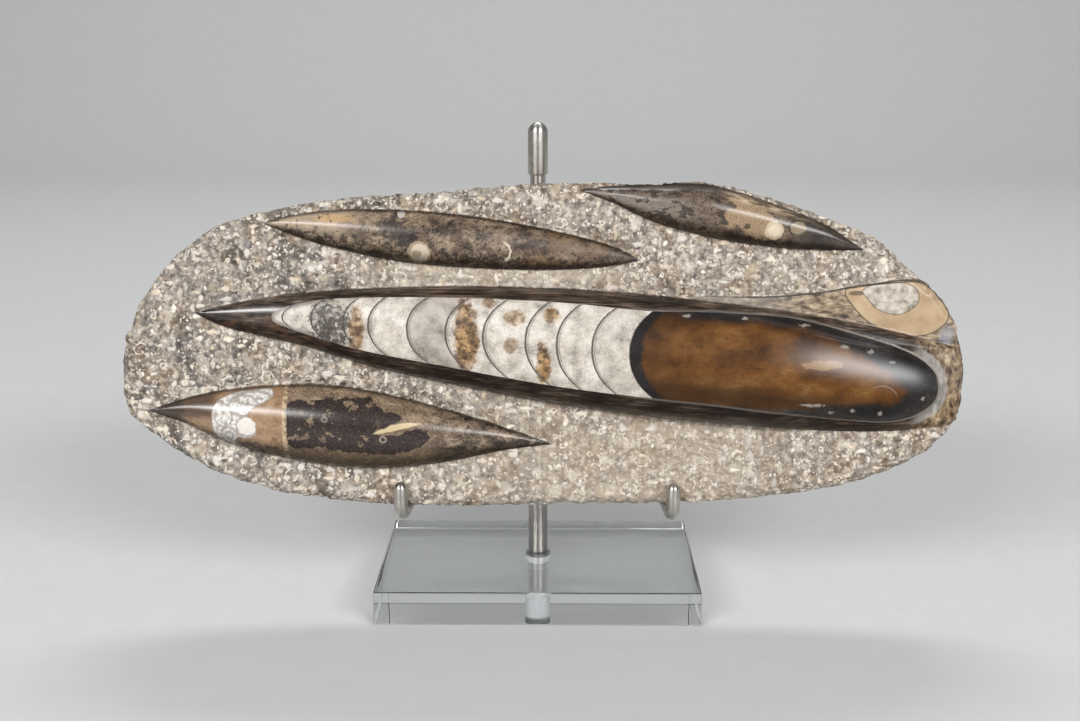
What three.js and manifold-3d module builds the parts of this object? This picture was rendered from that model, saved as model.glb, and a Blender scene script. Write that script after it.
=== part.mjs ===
// A carved and polished orthoceras fossil plaque, held upright on a display stand:
// a clear block, a two-part steel post behind the rock and a cradle of two bent steel arms.
// Millimetres. X is to the right, Y to the back, Z up. The origin is on the table,
// under the middle of the whole object.
import * as THREE from "three";
import { mergeVertices } from "three/addons/utils/BufferGeometryUtils.js";
import Module from "manifold-3d";

const wasm = await Module();
wasm.setup();

// Driving dimensions
const GAP = 0.3;
const SEGMENTS = 28;

const BASE_X = -2;
const BASE_WIDTH = 195;
const BASE_DEPTH = 127;
const BASE_HEIGHT = 20.5;
const BASE_CHAMFER = 0.8;
const COUNTERBORE_RADIUS = 7.8;
const COUNTERBORE_TOP = 17.5;
const SCREW_HOLE_RADIUS = 4.3;

const POST_X = -2.4;
const POST_Y = 7.4;
const TUBE_RADIUS = 6;
const TUBE_BORE_RADIUS = 5;
const TUBE_TOP = 200;
const TUBE_WEB_BOTTOM = 39;
const TUBE_WEB_TOP = 100;
const EDGE_BREAK = 0.45;
const ROD_RADIUS = 4.7;
const ROD_TOP = 280;
const CAP_BOTTOM = 260;
const CAP_TOP = 290.9;

const FOOT_SCREW_RADIUS = 4;
const FOOT_SCREW_TOP = 37;
const SCREW_HEAD_RADIUS = 6.5;
const SCREW_HEAD_HEIGHT = 8;
const HEX_KEY_RADIUS = 3.4;
const HEX_KEY_DEPTH = 4;

const ARM_RADIUS = 4.2;
const ARM_Z = 64;
const PIN_OFFSET = 80.5;
const PIN_Y = -51;
const PIN_TOP = 85;
const KNEE_OFFSET = 76.5;
const ELBOW_BEND = 9;
const KNEE_BEND = 16;
const ARM_STEPS = 32;
const ARM_SIDES = 12;
const TIP_SHARE = 0.999;
const COLLAR_RADIUS = 13.5;
const COLLAR_HEIGHT = 18;
const SOCKET_DEPTH = 5;
const GRUB_RADIUS = 2.5;
const GRUB_KEY_RADIUS = 1.45;
const GRUB_KEY_DEPTH = 2.5;

const SLAB_LEAN = THREE.MathUtils.degToRad(6);
const SLAB_CENTRE = new THREE.Vector3(0, -37.5, 163);
const SLAB_BACK = -30.4;
const COLUMNS = 70;
const ROWS = 28;

// The rock's outline seen square to its face, in four sides that share their corners.
// Each point is [right, up] from the face's centre.
const OUTLINE = {
  top: [
    [-212, 55], [-190, 70.5], [-160, 79.5], [-115, 87], [-60, 90.5], [0, 95.5],
    [60, 95.5], [95, 96], [130, 88], [165, 76.5], [195, 64], [216, 45],
  ],
  right: [[229, -61], [244, -43], [247.3, -12], [243, 12], [233, 30], [216, 45]],
  bottom: [
    [-233, -50.5], [-200, -72], [-155, -86.5], [-110, -92.6], [-60, -95], [0, -93.5],
    [60, -93], [115, -90.5], [165, -84.5], [200, -75], [229, -61],
  ],
  left: [[-233, -50.5], [-244.5, -38], [-247.3, -12], [-241, 15], [-229, 36], [-212, 55]],
};

// Each carved shell is a long dome. Its stations are [along, upper edge, lower edge, height].
const SHELLS = {
  centre: [
    [-203, 21, 21, 0], [-170, 27, 9, 7], [-140, 31.5, 1, 12], [-100, 35, -14.5, 17],
    [-60, 36, -23, 20.5], [0, 33.5, -32, 23], [60, 29, -39.5, 24], [107, 25, -45, 24],
    [150, 20, -48, 24], [200, 9, -50, 23], [230, -3, -48, 18], [247, -12, -44, 0],
  ],
  upperLeft: [
    [-163, 72, 72, 0], [-140, 78, 62, 5], [-100, 81, 54, 9.5], [-60, 79, 50, 11],
    [-20, 73, 47.5, 11], [20, 64.5, 48, 8], [57, 52, 52, 0],
  ],
  upperRight: [
    [20, 91, 91, 0], [40, 93, 84, 4], [60, 94, 76, 8], [80, 94, 69.5, 11],
    [110, 91, 61, 12.5], [140, 83, 58, 11], [165, 72, 57.5, 6], [187, 58, 58, 0],
  ],
  lowerLeft: [
    [-232, -38, -38, 0], [-200, -26, -52, 9], [-165, -21, -65, 15], [-130, -21, -70, 17],
    [-95, -25, -72, 17], [-60, -35, -68, 13], [-25, -49, -61, 6], [6, -57, -57, 0],
  ],
};
const DOME_FULLNESS = 0.65;

// The rim below the face: depth behind the face, and how far it lies inside the outline.
const RIM = [
  { depth: 3.5, inset: 0 },
  { depth: 13, inset: 0.8 },
  { depth: 23, inset: 2.5 },
  { depth: -SLAB_BACK, inset: 5 },
];
const SEAT_Z = ARM_Z + ARM_RADIUS + GAP;
const SEAT_HALF_WIDTH = 14;
const SEAT_OFFSET = 77.5;
const SEAT_REACH = 10;

const STONE = new THREE.MeshStandardMaterial({ color: 0x8d8378, roughness: 0.55 });
const ACRYLIC = new THREE.MeshStandardMaterial({
  color: 0xeaf0f2, roughness: 0.03, transparent: true, opacity: 0.35,
});
const STEEL = new THREE.MeshStandardMaterial({ color: 0xb8b6b0, roughness: 0.28, metalness: 1 });
const DARK_STEEL = new THREE.MeshStandardMaterial({ color: 0x4b4b4d, roughness: 0.4, metalness: 1 });

function piece(name, geometry, material) {
  const mesh = new THREE.Mesh(geometry, material);
  mesh.name = name;
  return mesh;
}

function toSolid(geometry) {
  const bare = geometry.clone();
  bare.deleteAttribute("normal");
  bare.deleteAttribute("uv");
  const merged = mergeVertices(bare, 1e-4);
  return new wasm.Manifold(new wasm.Mesh({
    numProp: 3,
    vertProperties: new Float32Array(merged.attributes.position.array),
    triVerts: new Uint32Array(merged.index.array),
  }));
}

function fromSolid(solid) {
  const mesh = solid.getMesh();
  const geometry = new THREE.BufferGeometry();
  geometry.setAttribute("position", new THREE.BufferAttribute(mesh.vertProperties, 3));
  geometry.setIndex(new THREE.BufferAttribute(mesh.triVerts, 1));
  geometry.computeVertexNormals();
  return geometry;
}

// A round bar standing on Z, from one height to another.
function bar(radius, bottom, top, sides = SEGMENTS) {
  const geometry = new THREE.CylinderGeometry(radius, radius, top - bottom, sides);
  geometry.rotateX(Math.PI / 2);
  geometry.translate(0, 0, (top + bottom) / 2);
  return geometry;
}

// A turned part: the profile's points are [radius, height].
function turned(profile) {
  const points = profile.map(([radius, height]) => new THREE.Vector2(radius, height));
  const geometry = new THREE.LatheGeometry(points, SEGMENTS);
  geometry.rotateX(Math.PI / 2);
  return geometry;
}

function onPost(mesh) {
  mesh.position.set(POST_X, POST_Y, 0);
  return mesh;
}

// The clear block, with small polished chamfers and a stepped hole for the post's screw.
function baseBlock() {
  const halfWidth = BASE_WIDTH / 2 - BASE_CHAMFER;
  const halfDepth = BASE_DEPTH / 2 - BASE_CHAMFER;
  const outline = new THREE.Shape();
  outline.moveTo(-halfWidth, -halfDepth);
  outline.lineTo(halfWidth, -halfDepth);
  outline.lineTo(halfWidth, halfDepth);
  outline.lineTo(-halfWidth, halfDepth);
  outline.closePath();
  const block = new THREE.ExtrudeGeometry(outline, {
    depth: BASE_HEIGHT - 2 * BASE_CHAMFER,
    bevelEnabled: true,
    bevelThickness: BASE_CHAMFER,
    bevelSize: BASE_CHAMFER,
    bevelSegments: 1,
  });
  block.translate(BASE_X, 0, BASE_CHAMFER);
  const hole = bar(SCREW_HOLE_RADIUS, -1, BASE_HEIGHT + 1).translate(POST_X, POST_Y, 0);
  const counterbore = bar(COUNTERBORE_RADIUS, -1, COUNTERBORE_TOP).translate(POST_X, POST_Y, 0);
  const cut = toSolid(block).subtract(toSolid(hole)).subtract(toSolid(counterbore));
  return piece("base_block", fromSolid(cut), ACRYLIC);
}

// The lower post, tapped from below for the screw and bored from above for the rod.
function postTube() {
  const foot = BASE_HEIGHT + GAP;
  return onPost(piece("post_tube", turned([
    [0, TUBE_WEB_BOTTOM],
    [SCREW_HOLE_RADIUS, TUBE_WEB_BOTTOM],
    [SCREW_HOLE_RADIUS, foot],
    [TUBE_RADIUS - EDGE_BREAK, foot],
    [TUBE_RADIUS, foot + EDGE_BREAK],
    [TUBE_RADIUS, TUBE_TOP - EDGE_BREAK],
    [TUBE_RADIUS - EDGE_BREAK, TUBE_TOP],
    [TUBE_BORE_RADIUS, TUBE_TOP],
    [TUBE_BORE_RADIUS, TUBE_WEB_TOP],
    [0, TUBE_WEB_TOP],
  ]), STEEL));
}

function postRod() {
  return onPost(piece("post_rod", turned([
    [0, TUBE_WEB_TOP + GAP],
    [ROD_RADIUS, TUBE_WEB_TOP + GAP],
    [ROD_RADIUS, ROD_TOP],
    [0, ROD_TOP],
  ]), STEEL));
}

// The rod's cap: a sleeve with a round top, as wide as the tube below.
function postCap() {
  const domeBase = CAP_TOP - TUBE_RADIUS;
  const profile = [
    [0, ROD_TOP + GAP],
    [TUBE_BORE_RADIUS, ROD_TOP + GAP],
    [TUBE_BORE_RADIUS, CAP_BOTTOM],
    [TUBE_RADIUS - EDGE_BREAK, CAP_BOTTOM],
    [TUBE_RADIUS, CAP_BOTTOM + EDGE_BREAK],
  ];
  const steps = 8;
  for (let step = 0; step < steps; step += 1) {
    const angle = (Math.PI / 2) * (step / steps);
    profile.push([TUBE_RADIUS * Math.cos(angle), domeBase + TUBE_RADIUS * Math.sin(angle)]);
  }
  profile.push([0, CAP_TOP]);
  return onPost(piece("post_cap", turned(profile), STEEL));
}

// The cap screw that holds the post from below, with its head inside the counterbore.
function footScrew() {
  const headTop = COUNTERBORE_TOP - GAP;
  const headBottom = headTop - SCREW_HEAD_HEIGHT;
  const head = toSolid(bar(SCREW_HEAD_RADIUS, headBottom, headTop));
  const shank = toSolid(bar(FOOT_SCREW_RADIUS, headBottom + 1, FOOT_SCREW_TOP));
  const key = toSolid(bar(HEX_KEY_RADIUS, headBottom - 1, headBottom + HEX_KEY_DEPTH, 6));
  return onPost(piece("foot_screw", fromSolid(head.add(shank).subtract(key)), DARK_STEEL));
}

function sideways(geometry, side) {
  return geometry.rotateY(side * Math.PI / 2).translate(0, 0, ARM_Z);
}

// The collar that slides on the tube and carries both arms in sockets.
function cradleCollar() {
  let solid = toSolid(bar(COLLAR_RADIUS, ARM_Z - COLLAR_HEIGHT / 2, ARM_Z + COLLAR_HEIGHT / 2));
  solid = solid.subtract(toSolid(bar(TUBE_RADIUS + GAP, 0, TUBE_TOP)));
  for (const side of [-1, 1]) {
    const socket = bar(ARM_RADIUS + GAP, COLLAR_RADIUS - SOCKET_DEPTH, COLLAR_RADIUS + 2);
    solid = solid.subtract(toSolid(sideways(socket, side)));
  }
  const screwHole = bar(GRUB_RADIUS + GAP, 0, COLLAR_RADIUS + 2).rotateX(-Math.PI / 2);
  solid = solid.subtract(toSolid(screwHole.translate(0, 0, ARM_Z)));
  return onPost(piece("cradle_collar", fromSolid(solid), STEEL));
}

// The grub screw that locks the collar on the tube from behind.
function collarScrew() {
  const start = TUBE_RADIUS + GAP;
  const end = COLLAR_RADIUS - 1;
  const body = toSolid(bar(GRUB_RADIUS, start, end, 20));
  const key = toSolid(bar(GRUB_KEY_RADIUS, end - GRUB_KEY_DEPTH, end + 1, 6));
  const geometry = fromSolid(body.subtract(key));
  geometry.rotateX(-Math.PI / 2).translate(0, 0, ARM_Z);
  return onPost(piece("collar_screw", geometry, DARK_STEEL));
}

// A path of straight runs with rounded corners, for a bent bar.
function bentPath(corners, bends) {
  const path = new THREE.CurvePath();
  let start = corners[0];
  bends.forEach((bend, index) => {
    const corner = corners[index + 1];
    const into = corner.clone().sub(corners[index]).normalize();
    const out = corners[index + 2].clone().sub(corner).normalize();
    const trim = bend * Math.tan(into.angleTo(out) / 2);
    const bendStart = corner.clone().addScaledVector(into, -trim);
    const bendEnd = corner.clone().addScaledVector(out, trim);
    path.add(new THREE.LineCurve3(start, bendStart));
    path.add(new THREE.QuadraticBezierCurve3(bendStart, corner, bendEnd));
    start = bendEnd;
  });
  path.add(new THREE.LineCurve3(start, corners[corners.length - 1]));
  return path;
}

// One cradle arm: out of its socket, forward under the rock and up as a round-ended pin.
function cradleArm(name, side) {
  const socketEnd = COLLAR_RADIUS - SOCKET_DEPTH + GAP;
  const pinEnd = PIN_TOP - ARM_RADIUS;
  const corners = [
    new THREE.Vector3(side * socketEnd, 0, ARM_Z),
    new THREE.Vector3(side * KNEE_OFFSET, 0, ARM_Z),
    new THREE.Vector3(side * PIN_OFFSET, PIN_Y - POST_Y, ARM_Z),
    new THREE.Vector3(side * PIN_OFFSET, PIN_Y - POST_Y, pinEnd),
  ];
  const section = new THREE.Shape();
  section.absarc(0, 0, ARM_RADIUS, 0, 2 * Math.PI, false);
  const rod = new THREE.ExtrudeGeometry(section, {
    steps: ARM_STEPS,
    curveSegments: ARM_SIDES / 2,
    bevelEnabled: false,
    extrudePath: bentPath(corners, [KNEE_BEND, ELBOW_BEND]),
  });
  const tip = new THREE.SphereGeometry(ARM_RADIUS * TIP_SHARE, 16, 10);
  tip.rotateX(Math.PI / 2).translate(side * PIN_OFFSET, PIN_Y - POST_Y, pinEnd);
  return onPost(piece(name, fromSolid(toSolid(rod).add(toSolid(tip))), STEEL));
}

function sideCurve(points) {
  const list = points.map(([right, up]) => new THREE.Vector3(right, up, 0));
  return new THREE.CatmullRomCurve3(list, false, "centripetal");
}

// A grid over the rock's face, drawn from its four sides so that the cells stay even.
function faceGrid() {
  const [top, right, bottom, left] = ["top", "right", "bottom", "left"]
    .map((side) => sideCurve(OUTLINE[side]));
  const grid = [];
  for (let row = 0; row <= ROWS; row += 1) {
    const v = row / ROWS;
    for (let column = 0; column <= COLUMNS; column += 1) {
      const u = column / COLUMNS;
      const point = bottom.getPointAt(u).multiplyScalar(1 - v);
      point.addScaledVector(top.getPointAt(u), v);
      point.addScaledVector(left.getPointAt(v), 1 - u);
      point.addScaledVector(right.getPointAt(v), u);
      point.addScaledVector(bottom.getPointAt(0), -(1 - u) * (1 - v));
      point.addScaledVector(bottom.getPointAt(1), -u * (1 - v));
      point.addScaledVector(top.getPointAt(0), -(1 - u) * v);
      point.addScaledVector(top.getPointAt(1), -u * v);
      grid.push(point);
    }
  }
  return grid;
}

function domeHeight(stations, right, up) {
  const last = stations.length - 1;
  if (right <= stations[0][0] || right >= stations[last][0]) return 0;
  const index = stations.findIndex((station) => station[0] > right);
  const [before, after] = [stations[index - 1], stations[index]];
  const share = (right - before[0]) / (after[0] - before[0]);
  const [upper, lower, height] = [1, 2, 3]
    .map((part) => THREE.MathUtils.lerp(before[part], after[part], share));
  const across = (2 * up - upper - lower) / Math.max(upper - lower, 0.1);
  if (Math.abs(across) >= 1) return 0;
  return height * (1 - across * across) ** DOME_FULLNESS;
}

function reliefAt(right, up) {
  return Math.max(...Object.values(SHELLS).map((stations) => domeHeight(stations, right, up)));
}

// The face grid's outer vertices in order, counter-clockwise seen from the front.
function borderIndices() {
  const width = COLUMNS + 1;
  const border = [];
  for (let column = 0; column < COLUMNS; column += 1) border.push(column);
  for (let row = 0; row < ROWS; row += 1) border.push(row * width + COLUMNS);
  for (let column = COLUMNS; column > 0; column -= 1) border.push(ROWS * width + column);
  for (let row = ROWS; row > 0; row -= 1) border.push(row * width);
  return border;
}

// From face coordinates (right, up, out of the face) to the stand's own frame.
function placed(right, up, out) {
  const sine = Math.sin(SLAB_LEAN);
  const cosine = Math.cos(SLAB_LEAN);
  return new THREE.Vector3(right, up * sine - out * cosine, up * cosine + out * sine)
    .add(SLAB_CENTRE);
}

// The rock's underside comes down to the arms where it sits on them, and stays above them.
function seated(point, depth) {
  if (point.z > SEAT_Z + SEAT_REACH || depth < RIM[1].depth) return point;
  const nearest = Math.abs(Math.abs(point.x - POST_X) - SEAT_OFFSET);
  const pull = Math.exp(-((nearest / SEAT_HALF_WIDTH) ** 2));
  point.z = THREE.MathUtils.lerp(point.z, SEAT_Z, pull);
  return point;
}

// The whole rock with its carved shells, as one closed skin.
function fossilSlab() {
  const width = COLUMNS + 1;
  const face = faceGrid();
  const border = borderIndices();
  const onBorder = new Set(border);
  const positions = [];
  const triangles = [];
  face.forEach((point, index) => {
    const out = onBorder.has(index) ? -RIM[0].depth : reliefAt(point.x, point.y);
    positions.push(...placed(point.x, point.y, out).toArray());
  });
  for (let row = 0; row < ROWS; row += 1) {
    for (let column = 0; column < COLUMNS; column += 1) {
      const corner = row * width + column;
      triangles.push(corner, corner + 1, corner + width + 1);
      triangles.push(corner, corner + width + 1, corner + width);
    }
  }
  let ring = border;
  for (const { depth, inset } of RIM.slice(1)) {
    const next = [];
    for (const index of border) {
      const point = face[index];
      const pulledIn = 1 - inset / point.length();
      const vertex = placed(point.x * pulledIn, point.y * pulledIn, -depth);
      next.push(positions.length / 3);
      positions.push(...seated(vertex, depth).toArray());
    }
    ring.forEach((index, place) => {
      const after = (place + 1) % ring.length;
      triangles.push(index, next[place], ring[after]);
      triangles.push(ring[after], next[place], next[after]);
    });
    ring = next;
  }
  const centre = positions.length / 3;
  positions.push(...placed(0, 0, SLAB_BACK).toArray());
  ring.forEach((index, place) => triangles.push(index, centre, ring[(place + 1) % ring.length]));
  const geometry = new THREE.BufferGeometry();
  geometry.setAttribute("position", new THREE.Float32BufferAttribute(positions, 3));
  geometry.setIndex(triangles);
  geometry.computeVertexNormals();
  return piece("fossil_slab", geometry, STONE);
}

const plaque = new THREE.Group();
plaque.add(
  fossilSlab(),
  baseBlock(),
  postTube(),
  postRod(),
  postCap(),
  footScrew(),
  cradleCollar(),
  collarScrew(),
  cradleArm("cradle_arm_left", -1),
  cradleArm("cradle_arm_right", 1),
);

export default plaque;
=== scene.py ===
"""Looks of the orthoceras plaque: the carved rock on its clear block, steel post and cradle."""
import math
from functools import reduce

import bmesh
import bpy
import numpy as np
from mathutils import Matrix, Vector, noise as solid_noise


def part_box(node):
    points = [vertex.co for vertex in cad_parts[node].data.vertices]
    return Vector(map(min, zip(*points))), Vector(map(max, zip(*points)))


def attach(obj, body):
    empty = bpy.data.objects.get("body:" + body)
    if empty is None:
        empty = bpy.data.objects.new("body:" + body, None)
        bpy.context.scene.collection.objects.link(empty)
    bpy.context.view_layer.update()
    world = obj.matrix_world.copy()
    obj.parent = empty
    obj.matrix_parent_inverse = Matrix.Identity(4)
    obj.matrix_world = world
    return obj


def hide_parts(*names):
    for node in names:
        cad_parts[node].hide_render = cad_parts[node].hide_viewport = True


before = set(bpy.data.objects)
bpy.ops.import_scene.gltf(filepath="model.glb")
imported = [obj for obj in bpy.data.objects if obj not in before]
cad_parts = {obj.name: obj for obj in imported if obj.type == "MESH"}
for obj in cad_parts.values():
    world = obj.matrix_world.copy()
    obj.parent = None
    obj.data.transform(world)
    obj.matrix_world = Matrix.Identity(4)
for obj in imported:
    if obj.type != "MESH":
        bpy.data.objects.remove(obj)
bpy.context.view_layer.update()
MM = 0.001


# ---------------------------------------------------------------- camera, light and floor

CAMERA_PLACE = (0.008, -0.8928, 0.365)
CAMERA_PITCH = 13.74
CAMERA_TURN = 0.58
LIGHT_TARGET = Vector((0.0, -0.04, 0.16))
LIGHT_DISTANCE = 3.2
SOFTBOXES = [("key_right", 35, 28, 60.0), ("key_left", -34, 28, 60.0),
             ("back_fill", 178, 55, 34.0)]
SOFTBOX_SIZE = (1.9, 0.55)


def make_camera():
    camera = bpy.data.objects.new("camera", bpy.data.cameras.new("camera"))
    camera.data.lens = 50
    camera.data.sensor_width = 36
    camera.data.clip_end = 50
    camera.location = CAMERA_PLACE
    camera.rotation_euler = (math.radians(90 - CAMERA_PITCH), 0, math.radians(CAMERA_TURN))
    bpy.context.collection.objects.link(camera)
    bpy.context.scene.camera = camera


def make_lights():
    """Two broad softboxes in front, a weaker one behind, and a dim even surround."""
    for name, azimuth, elevation, power in SOFTBOXES:
        turn, lift = math.radians(azimuth), math.radians(elevation)
        away = math.cos(lift)
        way = Vector((math.sin(turn) * away, -math.cos(turn) * away, math.sin(lift)))
        lamp = bpy.data.lights.new(name, "AREA")
        lamp.shape = "RECTANGLE"
        lamp.size, lamp.size_y = SOFTBOX_SIZE
        lamp.energy = power
        holder = bpy.data.objects.new(name, lamp)
        holder.location = LIGHT_TARGET + way * LIGHT_DISTANCE
        holder.rotation_euler = way.to_track_quat("Z", "Y").to_euler()
        bpy.context.collection.objects.link(holder)
    world = bpy.data.worlds.new("surround")
    world.use_nodes = True
    background = world.node_tree.nodes["Background"]
    background.inputs["Color"].default_value = (0.93, 0.96, 1.0, 1)
    background.inputs["Strength"].default_value = 0.26
    bpy.context.scene.world = world
    bpy.context.scene.view_settings.view_transform = "Standard"


def make_floor():
    """A pale sweep: a flat floor that curves up into a backdrop."""
    half_width, front, back, bend, top = 4.0, -4.0, 2.2, 1.0, 4.0
    profile = [(front, 0.0), (back, 0.0)]
    for step in range(1, 13):
        angle = math.radians(90 * step / 12)
        profile.append((back + bend * math.sin(angle), bend * (1 - math.cos(angle))))
    profile.append((back + bend, top))
    vertices = [(x, y, z - 0.3 * MM) for y, z in profile for x in (-half_width, half_width)]
    faces = [(2 * i, 2 * i + 1, 2 * i + 3, 2 * i + 2) for i in range(len(profile) - 1)]
    mesh = bpy.data.meshes.new("floor")
    mesh.from_pydata(vertices, [], faces)
    mesh.polygons.foreach_set("use_smooth", [True] * len(faces))
    floor = bpy.data.objects.new("floor", mesh)
    bpy.context.collection.objects.link(floor)
    shader = Shader("pale_floor", roughness=0.9)
    grain = noise(shader.position(1.0), 0.02, 3)
    shader.set(base_color=blend(grain, (205, 205, 204), (212, 212, 211)))
    mesh.materials.append(shader.material)


# ---------------------------------------------------------------- shader arithmetic

def srgb(red, green, blue):
    """A colour given as it looks on screen, 0 to 255, as the linear value that shaders use."""
    linear = [(c / 255 / 12.92 if c <= 10 else ((c / 255 + 0.055) / 1.055) ** 2.4)
              for c in (red, green, blue)]
    return (*linear, 1.0)


class Value:
    """A shader output that takes part in plain arithmetic."""

    def __init__(self, tree, socket):
        self.tree = tree
        self.socket = socket

    def __add__(self, other):
        return operate("ADD", self, other)

    __radd__ = __add__

    def __sub__(self, other):
        return operate("SUBTRACT", self, other)

    def __rsub__(self, other):
        return operate("SUBTRACT", other, self)

    def __mul__(self, other):
        return operate("MULTIPLY", self, other)

    __rmul__ = __mul__

    def __truediv__(self, other):
        return operate("DIVIDE", self, other)

    def __abs__(self):
        return operate("ABSOLUTE", self)

    def field(self, name):
        """One of the mesh's own values, in the same material."""
        return add_node(self.tree, "Attribute", "Fac", attribute_name=name)


def plug(socket, value):
    """Joins a value to a socket or sets it there; a colour of three numbers is as seen on screen."""
    if isinstance(value, Value):
        value.tree.links.new(value.socket, socket)
    elif socket.type == "RGBA" and len(value) == 3:
        socket.default_value = srgb(*value)
    else:
        socket.default_value = value


def add_node(tree, kind, output, inputs=None, **settings):
    """A new node, set and fed, as the value of one of its outputs."""
    node = tree.nodes.new("ShaderNode" + kind)
    for key, setting in settings.items():
        setattr(node, key, setting)
    for key, value in (inputs or {}).items():
        plug(node.inputs[key], value)
    return Value(tree, node.outputs[output])


def tree_of(values):
    return next(value.tree for value in values if isinstance(value, Value))


def operate(operation, *values):
    return add_node(tree_of(values), "Math", 0, dict(enumerate(values)), operation=operation)


def least(*values):
    return reduce(lambda first, second: operate("MINIMUM", first, second), values)


def most(*values):
    return reduce(lambda first, second: operate("MAXIMUM", first, second), values)


def step(value, low, high):
    """0 below low, 1 above high, smooth between; low may be above high."""
    ends = (low, high, 0, 1) if low < high else (high, low, 1, 0)
    inputs = dict(enumerate((value, *ends)))
    return add_node(value.tree, "MapRange", 0, inputs, interpolation_type="SMOOTHSTEP")


def vector(operation, first, second):
    return add_node(first.tree, "VectorMath", 0, {0: first, 1: second}, operation=operation)


def scaled(place, scale):
    return add_node(place.tree, "VectorMath", 0, {0: place, "Scale": scale}, operation="SCALE")


def parts(place):
    node = add_node(place.tree, "SeparateXYZ", 0, {0: place}).socket.node
    return [Value(place.tree, socket) for socket in node.outputs]


def in_cells(place, size, stretch, shift):
    """The place counted in a pattern's cells, in the part of the pattern that shift picks."""
    where = vector("MULTIPLY", place, tuple(1 / (size * axis) for axis in stretch))
    return vector("ADD", where, (shift, shift * 1.7, shift * 0.6)) if shift else where


def noise(place, size, detail=2, rough=0.55, stretch=(1, 1, 1), shift=0.0, output="Fac"):
    inputs = {"Vector": in_cells(place, size, stretch, shift), "Scale": 1, "Detail": detail,
              "Roughness": rough}
    return add_node(place.tree, "TexNoise", output, inputs)


def warp(place, size, amount, detail=1, shift=0.0):
    """The place, pushed about by noise."""
    push = noise(place, size, detail, shift=shift, output="Color")
    return vector("ADD", place, scaled(vector("SUBTRACT", push, (0.5, 0.5, 0.5)), amount))


def cells(place, size, stretch=(1, 1, 1), shift=0.0):
    """Distance, in cell sizes, and three random numbers for each cell."""
    inputs = {"Vector": in_cells(place, size, stretch, shift), "Scale": 1}
    distance = add_node(place.tree, "TexVoronoi", "Distance", inputs)
    return distance, parts(Value(place.tree, distance.socket.node.outputs["Color"]))


def blend(share, first, second, mode="MIX"):
    """Mixes in the second colour; 6, 7 and 2 are the node's colour inputs and output."""
    inputs = {0: share, 6: first, 7: second}
    return add_node(tree_of(inputs.values()), "Mix", 2, inputs, data_type="RGBA", blend_type=mode)


def coats(colour, *layers):
    """The colour under layers of (share, red, green, blue)."""
    for share, *screen in layers:
        colour = blend(share, colour, tuple(screen))
    return colour


def ramp(value, *stops):
    """Colour along stops of (place, red, green, blue)."""
    colour = add_node(value.tree, "ValToRGB", "Color", {0: value})
    elements = colour.socket.node.color_ramp.elements
    while len(elements) < len(stops):
        elements.new(0.5)
    for element, (place, *screen) in zip(elements, stops):
        element.position = place
        element.color = srgb(*screen)
    return colour


def spot(place, centre, radii, ragged, power=0.5):
    """About 1 inside an oval, 0 outside, with a ragged edge."""
    x = (place.right - centre[0]) / radii[0]
    y = (place.up - centre[1]) / radii[1]
    return step(x * x + y * y + (ragged - 0.5) * power * 4, 1.25, 0.35)


def disc(place, centre, radius, stretch=1.0):
    """Distance from a roundish mark's centre, 1 at its edge."""
    x = (place.right - centre[0]) / (radius * stretch)
    y = (place.up - centre[1]) / radius
    uneven = noise(place, 2.6, 3, shift=radius) - 0.5
    return operate("SQRT", x * x + y * y) + uneven * 0.5


def discs(place, *marks):
    """Layers for roundish marks of (centre, radius, stretch, strength, red, green, blue)."""
    return [(step(disc(place, centre, radius, stretch), 1.08, 0.92) * strength, *screen)
            for centre, radius, stretch, strength, *screen in marks]


class Shader:
    """One material and its surface."""

    def __init__(self, name, **settings):
        self.material = bpy.data.materials.new(name)
        self.material.use_nodes = True
        self.tree = self.material.node_tree
        self.tree.nodes.clear()
        self.surface = self.tree.nodes.new("ShaderNodeBsdfPrincipled")
        output = self.tree.nodes.new("ShaderNodeOutputMaterial")
        self.tree.links.new(self.surface.outputs[0], output.inputs["Surface"])
        self.set(**settings)

    def set(self, **values):
        for key, value in values.items():
            plug(self.surface.inputs[key.replace("_", " ").title().replace("Ior", "IOR")], value)

    def bump(self, height, distance_mm, strength=1.0):
        inputs = {"Strength": strength, "Distance": distance_mm * MM, "Height": height}
        self.set(normal=add_node(self.tree, "Bump", 0, inputs))

    def face(self):
        """Place on the rock in mm: right, up and out of its face."""
        place = add_node(self.tree, "Attribute", "Vector", attribute_name="face_mm")
        place.right, place.up, place.out = parts(place)
        return place

    def position(self, scale=1000):
        return scaled(add_node(self.tree, "TexCoord", "Object"), scale)


# ---------------------------------------------------------------- the rock's outlines, in mm

POST = (-2.4, 7.4)
LEAN = math.radians(6)
SLAB_CENTRE = np.array([0, -37.5, 163.0])
SLAB_BACK = -30.4
COLUMNS, ROWS = 448, 168
SEAT_Z = 68.6
ARM_REACH, ARM_TOP = (60, 92), 90
ROD_FRONT, ROD_REACH = 2.35, 9
BROKEN_DEPTH = 29
COVE = 3.2
PAINT_MARGIN = 4

OUTLINE = {
    "top": [(-212, 55), (-190, 70.5), (-160, 79.5), (-115, 87), (-60, 90.5), (0, 95.5), (60, 95.5),
            (95, 96), (130, 88), (165, 76.5), (195, 64), (216, 45)],
    "right": [(229, -61), (244, -43), (247.3, -12), (243, 12), (233, 30), (216, 45)],
    "bottom": [(-233, -50.5), (-200, -72), (-155, -86.5), (-110, -92.6), (-60, -95), (0, -93.5),
               (60, -93), (115, -90.5), (165, -84.5), (200, -75), (229, -61)],
    "left": [(-233, -50.5), (-244.5, -38), (-247.3, -12), (-241, 15), (-229, 36), (-212, 55)],
}

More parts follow.
